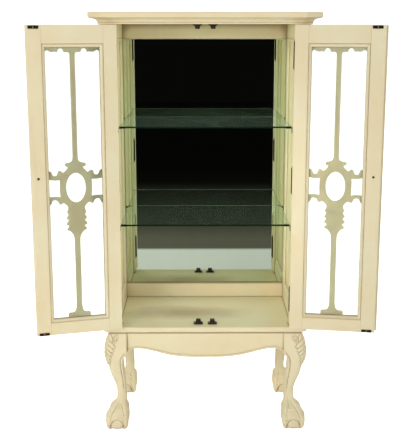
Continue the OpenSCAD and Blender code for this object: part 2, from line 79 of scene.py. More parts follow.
# ------------------------------------------------------------------ materials
class Tree:
    """A short way to write a node material."""

    def __init__(self, name):
        self.mat = bpy.data.materials.new(name)
        self.mat.use_nodes = True
        self.t = self.mat.node_tree
        self.t.nodes.clear()
        self.out = self.t.nodes.new("ShaderNodeOutputMaterial")

    def node(self, kind, **props):
        n = self.t.nodes.new("ShaderNode" + kind)
        for k, v in props.items():
            setattr(n, k, v)
        return n

    def link(self, a, b):
        self.t.links.new(a, b)

    def put(self, socket, value):
        if isinstance(value, bpy.types.NodeSocket):
            self.link(value, socket)
        elif value is not None:
            socket.default_value = value

    def math(self, op, a, b=None, c=None, clamp=False):
        n = self.node("Math", operation=op, use_clamp=clamp)
        for i, v in enumerate((a, b, c)):
            self.put(n.inputs[i], v)
        return n.outputs[0]

    def mix(self, fac, a, b, blend="MIX"):
        n = self.node("Mix", data_type="RGBA", blend_type=blend, clamp_factor=True)
        self.put(n.inputs[0], fac)
        self.put(n.inputs[6], a)
        self.put(n.inputs[7], b)
        return n.outputs[2]

    def noise(self, vec, scale, detail=3.0, rough=0.55, distortion=0.0):
        n = self.node("TexNoise")
        self.put(n.inputs["Vector"], vec)
        n.inputs["Scale"].default_value = scale
        n.inputs["Detail"].default_value = detail
        n.inputs["Roughness"].default_value = rough
        n.inputs["Distortion"].default_value = distortion
        return n.outputs[0]

    def remap(self, v, a, b, c=0.0, d=1.0, clamp=True):
        n = self.node("MapRange", clamp=clamp)
        self.put(n.inputs[0], v)
        for i, x in enumerate((a, b, c, d)):
            self.put(n.inputs[i + 1], x)
        return n.outputs[0]

    def coords(self, scale=(1, 1, 1), turn=0.0):
        tc = self.node("TexCoord")
        m = self.node("Mapping")
        self.link(tc.outputs["Object"], m.inputs["Vector"])
        m.inputs["Rotation"].default_value = (0, 0, turn)
        m2 = self.node("Mapping")
        self.link(m.outputs[0], m2.inputs["Vector"])
        m2.inputs["Scale"].default_value = scale
        return m2.outputs[0]

    def bump(self, height, strength, distance, normal=None):
        n = self.node("Bump")
        n.inputs["Strength"].default_value = strength
        n.inputs["Distance"].default_value = distance
        self.link(height, n.inputs["Height"])
        if normal is not None:
            self.link(normal, n.inputs["Normal"])
        return n.outputs[0]


def principled(t, color, rough, metallic=0.0, normal=None, spec=0.5, **more):
    p = t.node("BsdfPrincipled")
    t.put(p.inputs["Base Color"], color)
    t.put(p.inputs["Roughness"], rough)
    p.inputs["Metallic"].default_value = metallic
    p.inputs["Specular IOR Level"].default_value = spec
    for k, v in more.items():
        p.inputs[k].default_value = v
    if normal is not None:
        t.link(normal, p.inputs["Normal"])
    return p


PAINT = rgb(231, 219, 181)
PAINT_WARM = rgb(231, 214, 174)
PAINT_COOL = rgb(233, 224, 190)
# Brown used both as old glaze and as painted shade in hollows, corners, under overhangs and in a floor patch.
GLAZE_AND_SHADE = rgb(150, 121, 78)
RUBBED = rgb(214, 193, 150)


def paint(name, grain="z", turn=0.0, glaze_and_shade_amount=1.0, wear=1.0, shade_factor=1.0, carved=False, own=False, corner=0.0, reach=0.035,
          painted_shadow_patch=0.0, dark_top_band=None):
    """Brushed satin ivory paint over wood: faint grain and brush strokes along the piece, uneven colour, a brown laid
    into hollows, seams and carving that is partly old glaze and partly painted shade, and edges rubbed towards the
    undercoat.
    Options add painted shade in corners, a painted shadow patch, a band darkened towards the top, and a darker copy of
    the paint as painted shade over a whole piece."""
    t = Tree(name)
    stretch = {"x": (0.035, 1, 1), "y": (1, 0.035, 1), "z": (1, 1, 0.035), "n": (1, 1, 1)}[grain]
    fine = t.coords(stretch, turn)
    even = t.coords((1, 1, 1), turn)
    cloud = t.noise(even, 5.5, 4.0, 0.6)
    blotch = t.noise(even, 23.0, 3.0, 0.6, 0.4)
    strokes = t.noise(fine, 420.0, 4.0, 0.62, 0.2)
    grains = t.noise(fine, 95.0, 5.0, 0.7, 0.8)
    base = t.mix(t.remap(cloud, 0.35, 0.68), PAINT_WARM, PAINT_COOL)
    base = t.mix(t.remap(blotch, 0.40, 0.66, 0.0, 0.35), base, PAINT)
    base = t.mix(t.remap(grains, 0.50, 0.80, 0.0, 0.10), base, RUBBED)
    base = t.mix(t.remap(strokes, 0.30, 0.75, 0.0, 0.05), base, PAINT_COOL)
    # Brown laid into hollows and seams found by ambient occlusion: partly old glaze, partly painted shade where these
    # places fall in shade.
    hollow = t.node("AmbientOcclusion", samples=8, only_local=own)
    hollow.inputs["Distance"].default_value = 0.008 if carved else 0.0045
    glaze_and_shade = t.remap(hollow.outputs["AO"], 0.35, 0.90, 0.52 * glaze_and_shade_amount if carved else 0.85 * glaze_and_shade_amount, 0.0)
    patchy = t.remap(t.noise(even, 61.0, 2.0), 0.30, 0.70, 0.55, 1.0)
    # On carving, creases found by pointiness get the same brown: old glaze and painted shade.
    if carved:
        bend = t.node("NewGeometry")
        glaze_and_shade = t.math("MAXIMUM", glaze_and_shade, t.remap(bend.outputs["Pointiness"], 0.455, 0.4965, 0.95, 0.0))
    base = t.mix(t.math("MULTIPLY", glaze_and_shade, patchy), base, GLAZE_AND_SHADE)
    # Painted shadow: a soft oval patch of the brown across the middle of the floor board.
    if painted_shadow_patch:
        place = t.node("Mapping")
        t.link(t.node("TexCoord").outputs["Object"], place.inputs[0])
        place.inputs["Location"].default_value = (0.30, -0.02, 0.0)
        place.inputs["Scale"].default_value = (4.0, 11.0, 0.0)
        far = t.node("VectorMath", operation="LENGTH")
        t.link(place.outputs[0], far.inputs[0])
        rim = t.math("MULTIPLY_ADD", t.noise(even, 9.0, 3.0), 0.7, far.outputs["Value"])
        base = t.mix(t.remap(rim, 0.55, 1.45, painted_shadow_patch, 0.0), base, GLAZE_AND_SHADE)
    # Painted shade: the brown darkens corners and places close to other parts, found by ambient occlusion over a
    # longer reach.
    if corner:
        deep = t.node("AmbientOcclusion", samples=8)
        deep.inputs["Distance"].default_value = reach
        base = t.mix(t.remap(deep.outputs["AO"], 0.50, 0.85, corner, 0.0), base, GLAZE_AND_SHADE)
    # A band darkened towards the top of the piece; on the apron and legs it is a painted shadow under the base board's
    # nosing.
    if dark_top_band:
        up = t.node("SeparateXYZ")
        t.link(t.node("TexCoord").outputs["Generated"], up.inputs[0])
        base = t.mix(t.remap(up.outputs[2], dark_top_band[0], dark_top_band[1], 0.0, dark_top_band[2]), base, GLAZE_AND_SHADE)
    edge = t.node("AmbientOcclusion", samples=6, inside=True)
    edge.inputs["Distance"].default_value = 0.0022
    worn = t.remap(edge.outputs["AO"], 0.30, 0.80, 0.30 * wear, 0.0)
    base = t.mix(t.math("MULTIPLY", worn, t.remap(grains, 0.35, 0.70)), base, RUBBED)
    # Painted shade: the whole piece made darker, for a copy of the paint used where less light falls.
    if shade_factor != 1.0:
        base = t.mix(1.0, base, (shade_factor, shade_factor, shade_factor, 1), "MULTIPLY")
    rough = t.remap(blotch, 0.25, 0.75, 0.40, 0.52)
    n1 = t.bump(grains, 0.18, 0.0006)
    n2 = t.bump(strokes, 0.14, 0.0003, n1)
    p = principled(t, base, rough, normal=n2, spec=0.42)
    t.link(p.outputs[0], t.out.inputs["Surface"])
    return t.mat


def backing():
    """Pressed brown backing board with flecks of fibre."""
    t = Tree("backing_board")
    co = t.coords((1, 1, 1))
    fibre = t.noise(t.coords((1, 1, 0.25)), 380.0, 5.0, 0.75, 1.2)
    cloud = t.noise(co, 6.0, 3.0)
    base = t.mix(t.remap(cloud, 0.3, 0.7), rgb(160, 124, 84), rgb(180, 146, 102))
    base = t.mix(t.remap(fibre, 0.42, 0.62, 0.0, 0.55), base, rgb(120, 88, 56))
    p = principled(t, base, t.remap(fibre, 0.3, 0.7, 0.62, 0.80), normal=t.bump(fibre, 0.35, 0.0005), spec=0.3)
    t.link(p.outputs[0], t.out.inputs["Surface"])
    return t.mat


def bronze(name="dark_bronze", dark=1.0):
    """Dark bronzed brass: brown-black with a little of the metal showing through."""
    t = Tree(name)
    co = t.coords((1, 1, 1))
    patina = t.noise(co, 160.0, 4.0, 0.65, 0.5)
    fine = t.noise(co, 1500.0, 2.0)
    base = t.mix(t.remap(patina, 0.35, 0.70), rgb(30 * dark, 22 * dark, 15 * dark), rgb(66 * dark, 48 * dark, 30 * dark))
    edge = t.node("AmbientOcclusion", samples=4, inside=True)
    edge.inputs["Distance"].default_value = 0.0008
    base = t.mix(t.remap(edge.outputs["AO"], 0.35, 0.85, 0.35, 0.0), base, rgb(128, 98, 58))
    rough = t.remap(patina, 0.3, 0.7, 0.34, 0.52)
    p = principled(t, base, rough, metallic=0.85, normal=t.bump(fine, 0.12, 0.0002))
    t.link(p.outputs[0], t.out.inputs["Surface"])
    return t.mat


def plastic():
    t = Tree("catch_plastic")
    fine = t.noise(t.coords(), 1800.0, 2.0)
    cloud = t.noise(t.coords(), 90.0, 3.0)
    base = t.mix(t.remap(cloud, 0.3, 0.7), rgb(30, 22, 17), rgb(46, 34, 26))
    p = principled(t, base, t.remap(cloud, 0.3, 0.7, 0.42, 0.56), normal=t.bump(fine, 0.2, 0.0002), spec=0.4)
    t.link(p.outputs[0], t.out.inputs["Surface"])
    return t.mat


def steel():
    t = Tree("plate_steel")
    brushed = t.noise(t.coords((1, 1, 0.05)), 900.0, 3.0)
    base = t.mix(t.remap(brushed, 0.3, 0.7), rgb(120, 116, 108), rgb(164, 160, 150))
    p = principled(t, base, t.remap(brushed, 0.3, 0.7, 0.28, 0.44), metallic=1.0, normal=t.bump(brushed, 0.15, 0.0002))
    t.link(p.outputs[0], t.out.inputs["Surface"])
    return t.mat


def silvering():
    """Back-silvered mirror with the green tinge of its glass and a few faint smears."""
    t = Tree("mirror_silver")
    co = t.coords()
    smear = t.noise(t.coords((1, 1, 0.4)), 9.0, 4.0, 0.6, 0.6)
    base = t.mix(t.remap(smear, 0.35, 0.7), rgb(208, 220, 203), rgb(212, 224, 208))
    p = principled(t, base, t.remap(smear, 0.45, 0.8, 0.004, 0.02), metallic=1.0)
    t.link(p.outputs[0], t.out.inputs["Surface"])
    return t.mat


def lets_light_in(t, glass, tint):
    """Light from the lamps and from lit surfaces passes straight through the glass, dimmed by its tint."""
    clear = t.node("BsdfTransparent")
    clear.inputs["Color"].default_value = tint
    lp = t.node("LightPath")
    m = t.node("MixShader")
    t.link(t.math("MAXIMUM", lp.outputs["Is Shadow Ray"], lp.outputs["Is Diffuse Ray"]), m.inputs[0])
    t.link(glass, m.inputs[1])
    t.link(clear.outputs[0], m.inputs[2])
    t.link(m.outputs[0], t.out.inputs["Surface"])


def pane(name="pane_glass", shine_amount=0.8, edge_on_reflection=0.0, dust_and_reflection_colour=rgb(214, 220, 206)):
    """Thin clear sheet glass for the doors and sides: its body is see-through with a breath of green, and the surface
    has faint waviness and a film of dust. Where asked, a painted reflection in the film's colour is laid over the
    glass where it is seen edge on."""
    t = Tree(name)
    wave = t.noise(t.coords((1, 1, 0.5)), 7.0, 2.0)
    dust = t.noise(t.coords(), 260.0, 4.0, 0.7)
    normal = t.bump(wave, 0.04, 0.002)
    clear = t.node("BsdfTransparent")
    clear.inputs["Color"].default_value = (0.955, 0.985, 0.962, 1)
    shine = t.node("BsdfGlossy")
    shine.inputs["Roughness"].default_value = 0.02
    t.link(normal, shine.inputs["Normal"])
    fres = t.node("Fresnel")
    fres.inputs["IOR"].default_value = 1.45
    t.link(normal, fres.inputs["Normal"])
    body = t.node("MixShader")
    t.link(t.math("MULTIPLY", fres.outputs[0], shine_amount), body.inputs[0])
    t.link(clear.outputs[0], body.inputs[1])
    t.link(shine.outputs[0], body.inputs[2])
    film = t.node("BsdfDiffuse")
    film.inputs["Color"].default_value = dust_and_reflection_colour
    dusty = t.node("MixShader")
    thin = t.remap(dust, 0.45, 0.8, 0.0, 0.03)
    # Painted reflection: where the glass is seen edge on, the film grows into a sheet of the given colour.
    if edge_on_reflection:
        facing = t.node("LayerWeight")
        edge_on_reflection_mask = t.remap(facing.outputs["Facing"], 0.62, 0.97, 0.0, edge_on_reflection)
        thin = t.math("MAXIMUM", thin, t.math("MULTIPLY", edge_on_reflection_mask, t.remap(dust, 0.3, 0.7, 0.8, 1.0)))
    t.link(thin, dusty.inputs[0])
    t.link(body.outputs[0], dusty.inputs[1])
    t.link(film.outputs[0], dusty.inputs[2])
    t.link(dusty.outputs[0], t.out.inputs["Surface"])
    return t.mat


def shelf_glass(name="shelf_glass", streaks=0.055, haze=0.0):
    """6 mm float glass: clear through its faces, deep green through its length, with a trace of dust on top; its front
    edge is darkened as painted shade and its rear edge lightened as a painted highlight.
    """
    t = Tree(name)
    dust = t.noise(t.coords((1, 2.2, 1)), 34.0, 5.0, 0.7, 0.5)
    fine = t.noise(t.coords(), 700.0, 2.0)
    p = principled(t, (0.93, 0.985, 0.955, 1), 0.0, spec=0.5, **{"Transmission Weight": 1.0, "IOR": 1.5})
    film = t.node("BsdfDiffuse")
    film.inputs["Color"].default_value = rgb(150, 172, 158)
    dusty = t.node("MixShader")
    wiped = t.noise(t.coords((0.4, 1.6, 1)), 58.0, 3.0, 0.6, 0.3)
    film_a = t.math("MULTIPLY_ADD", t.remap(dust, 0.36, 0.66), 0.020, t.remap(fine, 0.5, 0.8, 0.001, 0.004))
    t.link(t.math("ADD", film_a, t.remap(wiped, 0.50, 0.72, haze, streaks)), dusty.inputs[0])
    t.link(p.outputs[0], dusty.inputs[1])
    t.link(film.outputs[0], dusty.inputs[2])
    side = t.node("NewGeometry")
    way = t.node("SeparateXYZ")
    t.link(side.outputs["True Normal"], way.inputs[0])
    along = t.node("SeparateXYZ")
    t.link(t.node("TexCoord").outputs["Generated"], along.inputs[0])
    edge = t.remap(t.math("ABSOLUTE", way.outputs[1]), 0.30, 0.65, 0.0, 1.0)
    at_rear = t.math("GREATER_THAN", along.outputs[1], 0.5)
    # Painted shade: the front edge seen from outside is made dark green, the glass's own green darkened for the dark
    # it reflects.
    deep = principled(t, rgb(6, 27, 13), 0.15, spec=0.22)
    cut = t.node("MixShader")
    at_front = t.math("SUBTRACT", 1.0, at_rear)
    outer = t.remap(way.outputs[1], -0.30, -0.65, 0.0, 0.93)
    t.link(t.math("MULTIPLY", outer, at_front), cut.inputs[0])
    t.link(dusty.outputs[0], cut.inputs[1])
    t.link(deep.outputs[0], cut.inputs[2])
    # Painted highlight: the rear edge, and the front edge seen from inside the glass, are made pale green as if
    # catching the light.
    rear_edge_highlight = t.node("BsdfDiffuse")
    rear_edge_highlight.inputs["Color"].default_value = rgb(176, 204, 184)
    rear = t.node("MixShader")
    inner = t.remap(way.outputs[1], 0.30, 0.65, 0.0, 1.0)
    t.link(t.math("MULTIPLY", t.math("MAXIMUM", t.math("MULTIPLY", edge, at_rear), inner), 0.42), rear.inputs[0])
    t.link(cut.outputs[0], rear.inputs[1])
    t.link(rear_edge_highlight.outputs[0], rear.inputs[2])
    lets_light_in(t, rear.outputs[0], (0.88, 0.95, 0.90, 1))
    vol = t.node("VolumeAbsorption")
    vol.inputs["Color"].default_value = (0.10, 0.62, 0.42, 1)
    vol.inputs["Density"].default_value = 13.0
    t.link(vol.outputs[0], t.out.inputs["Volume"])
    return t.mat


M = {
    "z": paint("ivory_paint_upright", "z"),
    "x": paint("ivory_paint_across", "x"),
    "y": paint("ivory_paint_deep", "y"),
    # Painted shade in the corners of the back stiles, which sit in shade beside the mirror.
    "corner": paint("ivory_paint_corner_shade", "z", corner=0.75),
    # Painted shade in the floor board's corners and a painted shadow patch across its middle.
    "floor": paint("ivory_paint_floor", "x", corner=0.7, reach=0.012, painted_shadow_patch=0.58),
    # Painted shade where the apron meets other parts and a painted shadow band under the base board's nosing.
    "apron": paint("ivory_paint_apron", "x", corner=0.75, reach=0.007, dark_top_band=(0.895, 0.945, 0.85)),
    # Darker towards the top edge of the back bottom rail.
    "sill": paint("ivory_paint_sill", "x", dark_top_band=(0.965, 0.985, 0.75)),
    # Painted shade in the corners of the ceiling board and the back top rail.
    "rail": paint("ivory_paint_rail", "x", corner=0.72),
    # Painted shade in the carving's corners and a painted shadow band at the top of the legs, under the nosing.
    "n": paint("ivory_paint_carved", "n", carved=True, glaze_and_shade_amount=1.0, wear=1.2, corner=0.34, reach=0.008,
               dark_top_band=(0.975, 0.987, 0.8)),
    "lz": paint("ivory_paint_left_door_upright", "z", -OPEN_L),
    "lx": paint("ivory_paint_left_door_across", "x", OPEN_L),
    # The right door uses darker copies of the paint: painted shade, as it gets less light than the left door.
    "rx": paint("ivory_paint_right_door_across", "x", -OPEN_R, shade_factor=0.965),
    "rz": paint("ivory_paint_right_door_upright", "z", shade_factor=0.965),
    # Painted shade on the left post, which sits in shade.
    "post": paint("ivory_paint_left_post_shaded", "z", corner=0.55, reach=0.018),
    "fret": paint("ivory_paint_fret", "z", own=True),
    "back": backing(),
    "bronze": bronze(),
    "plastic": plastic(),
    "steel": steel(),
    "mirror": silvering(),
    "pane": pane(),
    # The side panes get a cream painted reflection of the case where they are seen edge on.
    "side": pane("side_pane_glass", 0.25, 0.88, rgb(236, 221, 178)),
    "shelf": shelf_glass(),
    "shelf_high": shelf_glass("shelf_glass_upper", 0.15, 0.030),
}


def dress(names, key):
    for n in names if isinstance(names, (list, tuple)) else [names]:
        o = nodes[n]
        o.data.materials.clear()
        o.data.materials.append(M[key])


dress(["front_post_right", "side_glass_stops"], "z")
dress("front_post_left", "post")
dress(["side_back_stile_left", "side_back_stile_right"], "corner")
dress(["top_board", "crown_front", "crown_cants"], "x")
dress("back_frame_bottom_rail", "sill")
dress(["apron_front", "apron_back"], "apron")
dress(["ceiling_board", "back_frame_top_rail"], "rail")
dress("base_board", "floor")
dress(["crown_sides", "side_top_rail_left", "side_top_rail_right", "side_bottom_rail_left",
       "side_bottom_rail_right", "apron_left", "apron_right"], "y")
dress("back_panel", "back")
dress("mirror_plate", "mirror")
dress("shelf_lower", "shelf")
dress("shelf_upper", "shelf_high")
dress(["side_glass_left", "side_glass_right"], "side")
dress(["shelf_clips", "hinge_frame_leaves", "hinge_pins"], "bronze")
dress("magnetic_catches", "plastic")
for side, along in (("left", "lx"), ("right", "rx")):
    d = side + "_door_"
    dress([d + "hinge_stile", d + "free_stile", d + "glass_stops"], "z" if side == "left" else "rz")
    dress(d + "fretwork", "fret")
    dress([d + "top_rail", d + "bottom_rail"], along)
    dress(d + "glass", "pane")
    dress([d + "knob", d + "knob_screw", d + "strike_plates", d + "hinge_leaves"], "bronze")
dress("right_door_astragal", "z")


def soften(names, width, segments=2, angle=32.0):
    """Rounds a CAD piece's edges, as sanding and paint do."""
    for n in names if isinstance(names, (list, tuple)) else [names]:
        o = nodes[n]
        w = o.modifiers.new("weld", "WELD")
        w.merge_threshold = 0.00002
        d = o.modifiers.new("flat", "DECIMATE")
        d.decimate_type = "DISSOLVE"
        d.angle_limit = math.radians(0.8)
        b = o.modifiers.new("edges", "BEVEL")
        b.width = width
        b.segments = segments
        b.limit_method = "ANGLE"
        b.angle_limit = math.radians(angle)
        b.use_clamp_overlap = True
        b.harden_normals = False


soften("base_board", 0.0060, 4)
soften("top_board", 0.0030, 3)
soften(["crown_front", "crown_cants", "crown_sides"], 0.0004, 1, 50)
soften(["front_post_left", "front_post_right"], 0.0012, 2, 20)
soften(["side_back_stile_left", "side_back_stile_right", "side_top_rail_left", "side_top_rail_right",
        "side_bottom_rail_left", "side_bottom_rail_right", "back_frame_top_rail",
        "back_frame_bottom_rail"], 0.0008, 2)
soften(["apron_front", "apron_left", "apron_right", "apron_back"], 0.0009, 2, 40)
soften(["side_glass_stops", "left_door_glass_stops", "right_door_glass_stops"], 0.0005, 1, 50)
for side in ("left", "right"):
    d = side + "_door_"
    soften([d + "hinge_stile", d + "free_stile", d + "top_rail", d + "bottom_rail"], 0.0009, 2)
    soften(d + "fretwork", 0.0009, 2, 50)
soften(["shelf_clips", "magnetic_catches", "left_door_strike_plates", "right_door_strike_plates"], 0.0004, 2)
soften(["shelf_upper", "shelf_lower"], 0.0004, 1)
soften(["mirror_plate", "back_panel", "side_glass_left", "side_glass_right", "left_door_glass", "right_door_glass"],
       0.0004, 1)
soften("right_door_astragal", 0.0004, 1, 50)

# ------------------------------------------------------------------ carved legs
# Drawn about the inner corner of the leg's block: u outwards to the side, v outwards to the front or back, z up,
# all in millimetres.  Stations: height, inner and outer reach, and how square the section is.
STATIONS = np.array([
    [68, 1.4, 70.4, 3.5], [72, 0.4, 69.8, 3.4], [77, 2.4, 64.6, 3.1], [83, 5.2, 58.4, 2.8], [88, 6.4, 53.2, 2.6],
    [94, 7.2, 49.6, 2.4], [105, 7.6, 45.6, 2.3], [116, 6.6, 44.0, 2.3], [130, 6.3, 43.4, 2.3], [145, 6.9, 44.4, 2.3],
    [161, 7.8, 47.2, 2.3], [180, 8.8, 53.2, 2.4], [197, 9.8, 59.4, 2.5], [220, 11.8, 66.3, 2.7], [236, 13, 69.0, 2.9],
    [252, 14.0, 72.4, 3.1], [268, 14.8, 76.7, 3.4], [280, 12.6, 79.6, 3.8], [292, 6, 81.2, 4.2], [302, 0.6, 81.6, 4.6],
    [330, -0.1, 78.8, 5.4], [355, -0.1, 72.4, 6.4], [370, -0.1, 66.2, 7.5], [379, -0.1, 63.6, 8.5]])


def through(xs, ys, x):
    """Smooth curve through stations that doesn't overshoot them."""
    xs, ys, x = (np.asarray(a, float) for a in (xs, ys, x))
    h, d = np.diff(xs), np.diff(ys) / np.diff(xs)
    m = np.zeros(len(xs))
    m[0], m[-1] = d[0], d[-1]
    for i in range(1, len(xs) - 1):
        m[i] = 0.0 if d[i - 1] * d[i] <= 0 else 3 * (h[i - 1] + h[i]) / (
            (2 * h[i] + h[i - 1]) / d[i - 1] + (h[i] + 2 * h[i - 1]) / d[i])
    k = np.clip(np.searchsorted(xs, x) - 1, 0, len(h) - 1)
    t = (x - xs[k]) / h[k]
    return ((2 * t ** 3 - 3 * t ** 2 + 1) * ys[k] + (t ** 3 - 2 * t ** 2 + t) * h[k] * m[k]
            + (3 * t ** 2 - 2 * t ** 3) * ys[k + 1] + (t ** 3 - t ** 2) * h[k] * m[k + 1])


class Solid:
    """Collects closed shells, in millimetres."""

    def __init__(self):
        self.v, self.f = [], []

    def shell(self, rings):
        """A closed skin over a row of rings that have the same number of points."""
        n, base = len(rings[0]), len(self.v)
        for r in rings:
            self.v += [tuple(p) for p in r]
        for j in range(len(rings) - 1):
            for k in range(n):
                q = (k + 1) % n
                a, b = base + j * n, base + (j + 1) * n
                self.f.append((a + k, a + q, b + q, b + k))
        self.f.append(tuple(base + k for k in range(n - 1, -1, -1)))
        self.f.append(tuple(base + (len(rings) - 1) * n + k for k in range(n)))

    def ball(self, c, r, n=24):
        rings = []
        for i in range(1, n):
            a = math.pi * i / n
            rings.append([(c[0] + r * math.sin(a) * math.cos(b), c[1] + r * math.sin(a) * math.sin(b),
                           c[2] - r * math.cos(a)) for b in np.arange(2 * n) * math.pi / n])
        self.shell(rings)

    def cushion(self, c, wide, high, flat, square, n=28):
        """A ball pressed into a rounded square, flattened above and below."""
        rings = []
        for i in range(1, n):
            t = math.cos(math.pi * i / n)
            lift = -math.copysign(abs(t) ** (2 / flat), t)
            h = wide * max(1e-3, 1 - abs(lift) ** flat) ** (1 / flat)
            rings.append([(x, y, c[2] + high * lift) for x, y, z in section(0, c[0] - h, c[0] + h, square, 2 * n)])
        self.shell(rings)

    def tube(self, path, radii, n=20, step=2.0):
        """A round bar along a path, with domed ends."""
        path, radii = np.asarray(path, float), np.asarray(radii, float)
        along = np.concatenate([[0], np.cumsum(np.linalg.norm(np.diff(path, axis=0), axis=1))])
        q = np.linspace(0, along[-1], max(3, int(along[-1] / step)))
        pts = np.stack([through(along, path[:, i], q) for i in range(3)], axis=1)
        rad = through(along, radii, q)
        tan = np.gradient(pts, axis=0)
        tan /= np.linalg.norm(tan, axis=1)[:, None]
        side = np.cross(tan[0], (0.3, 0.2, 1.0) if abs(tan[0][2]) < 0.8 else (1.0, 0.3, 0.0))
        rings = []
        for i, (c, r, d) in enumerate(zip(pts, rad, tan)):
            side = side - d * side.dot(d)
            side /= np.linalg.norm(side)
            up = np.cross(d, side)
            ends = ((-0.98, 0.2), (-0.8, 0.6), (-0.4, 0.92), (0, 1)) if i == 0 else (
                ((0, 1), (0.4, 0.92), (0.8, 0.6), (0.98, 0.2)) if i == len(pts) - 1 else ((0, 1),))
            for along_r, wide in ends:
                rings.append([c + d * r * along_r + r * wide * (math.cos(a) * side + math.sin(a) * up)
                              for a in np.arange(n) * 2 * math.pi / n])
        self.shell(rings)


def section(z, inner, outer, square, n=72, lift=0.0, flush=None):
    """A rounded square; flush is the squareness on the sides that meet the aprons."""
    c, h = (inner + outer) / 2, (outer - inner) / 2
    out = []
    for k in range(n):
        a = 2 * math.pi * k / n
        ca, sa = math.cos(a), math.sin(a)
        q = 2 / (square if flush is None or (ca > -1e-9 and sa > -1e-9) else flush)
        out.append((c + h * math.copysign(abs(ca) ** q, ca), c + h * math.copysign(abs(sa) ** q, sa),
                    z + lift * math.cos(4 * a)))
    return out


def station(z):
    return [float(through(STATIONS[:, 0], STATIONS[:, i], z)) for i in (1, 2, 3)]


def flush_at(z, square):
    return square + (16 - square) * min(1.0, max(0.0, (z - 268) / 26)) ** 1.5


def on_face(u, z):
    """How far out the leg's front face lies at (u, z)."""
    inner, outer, p = station(z)
    c, h = (inner + outer) / 2, (outer - inner) / 2
    if u < c:
        p = flush_at(z, p)
    return c + h * (1 - min(1.0, abs((u - c) / h)) ** p) ** (1 / p)


# the bead that runs down the inner edge of both outward faces: (across, height), and its radius
BEAD = [(1.5, 306), (6.0, 300), (11, 293), (16.5, 283.5), (20.2, 270), (21.2, 254), (20.4, 237), (18.8, 220), (16.8, 198),
        (15, 172), (14.4, 150), (14.4, 132)]
BEAD_R = [3.9, 4.1, 4.2, 4.2, 4.1, 3.9, 3.7, 3.4, 3.0, 2.5, 2.0, 1.3]


def carve(co):
    """How far the acanthus on the knee stands out at points (u, v, z)."""
    u, v, z = co[:, 0], co[:, 1], co[:, 2]
    s = np.abs(u - v)
    corner = (u > 30) & (v > 30)
    wide = np.interp(z, [243, 250, 258, 268, 278, 288, 298, 308, 318, 326, 334, 342, 350, 358, 366, 373],
                     [0, 6, 11, 15, 19, 24, 29, 33, 36.5, 38, 37, 33, 26, 21, 15, 0])
    row = (z + 0.75 * s) / 17.0
    ph = row - np.floor(row)
    tooth = np.where(ph < 0.72, ph / 0.72, (1 - ph) / 0.28)
    edge = wide * (0.74 + 0.30 * tooth)
    inside = np.clip((edge - s) / 2.2, 0, 1)
    inside = inside * inside * (3 - 2 * inside)
    lobe = np.sin(np.pi * np.clip(ph, 0, 1)) ** 0.6
    out = inside * (1.9 + 2.7 * lobe * np.clip(s / 7.0, 0.15, 1))
    out += inside * (1.8 * np.exp(-(s / 2.0) ** 2) - 1.3 * np.exp(-((s - 4.4) / 1.5) ** 2))
    # a little valley cut round the leaf
    out -= 1.5 * np.exp(-((s - edge - 1.6) / 1.5) ** 2) * (1 - inside) * (wide > 0.5)
    vein = (z + 0.75 * s) / 17.0 + 0.5
    vein = np.abs(vein - np.floor(vein) - 0.5)
    out -= inside * 0.9 * np.exp(-(vein / 0.06) ** 2) * np.clip((s - 5) / 4, 0, 1)
    out = np.where(corner, out, 0.0)
    # an upright oval scroll on each face, its stem running into the leaf
    e = np.hypot((s - 30.0) / 7.2, (z - 354.0) / 11.6)
    ring = np.exp(-((e - 1.0) / 0.20) ** 2)
    boss = np.exp(-(np.hypot(s - 30.5, (z - 351.0) / 1.5) / 2.6) ** 2)
    out = np.where(e < 1.45, 3.0 * np.maximum(ring, 0.75 * boss) - 0.5 * (e < 1.0) * (1 - ring) * (1 - boss), out)
    a, b = np.array([29.0, 342.0]), np.array([20.0, 318.0])
    t = np.clip(((s - a[0]) * (b - a)[0] + (z - a[1]) * (b - a)[1]) / ((b - a) ** 2).sum(), 0, 1)
    far = np.hypot(s - a[0] - t * (b - a)[0], z - a[1] - t * (b - a)[1])
    out = np.maximum(out, 3.4 * np.exp(-(far / 2.0) ** 2))
    # the quirk that sets the bead off from the face
    heights = np.array([q[1] for q in BEAD])[::-1]
    for near, face in ((u, v), (v, u)):
        line = np.interp(z, heights, np.array([q[0] for q in BEAD])[::-1])
        rad = np.interp(z, heights, np.array(BEAD_R)[::-1])
        out -= 1.3 * np.exp(-((near - line - rad - 0.9) / 1.2) ** 2) * (face > 30) * (z > 150) * (z < 303)
    out = np.where(np.maximum(u, v) > 30, out, 0.0)
    # the foot swells between its toes, and the ball shows below as a dome with a groove round it
    low = np.interp(z, [36, 43, 50, 60, 74, 88, 100], [0, 1.9, 2.4, 2.4, 2.0, 1.1, 0])
    crease = np.interp(z, [0, 45, 60, 75, 90], [22, 22, 18, 10, 2])
    fill = np.interp(z, [37, 46, 80, 95], [0, 1.9, 1.5, 0])
    depth = np.interp(z, [0, 3, 16, 33, 42], [1.0, 3.2, 2.9, 1.9, 1.6])
    m = np.interp(z, [0, 40, 60, 80, 100], [41.9, 41.6, 37.6, 32.8, 27.0])
    half = np.interp(z, [33, 50, 66, 78, 88, 100], [39, 37, 34, 29, 22, 15])
    for near, face in ((u, v), (v, u)):
        side = np.clip((np.abs(face - m) - half + 9.0) / 7.0, 0, 1)
        off = np.abs(near - m)
        out += low * side * np.exp(-(off / 17.0) ** 2)
        out += fill * side * np.exp(-((off - crease) / 3.4) ** 2)
        dome = np.hypot(off / 24.5, (z - 1.0) / 38.0)
        out += 0.9 * side * np.clip(1 - dome * dome, 0, 1)
        out -= depth * side * np.exp(-((dome - 1.0) / 0.075) ** 2)
    return out


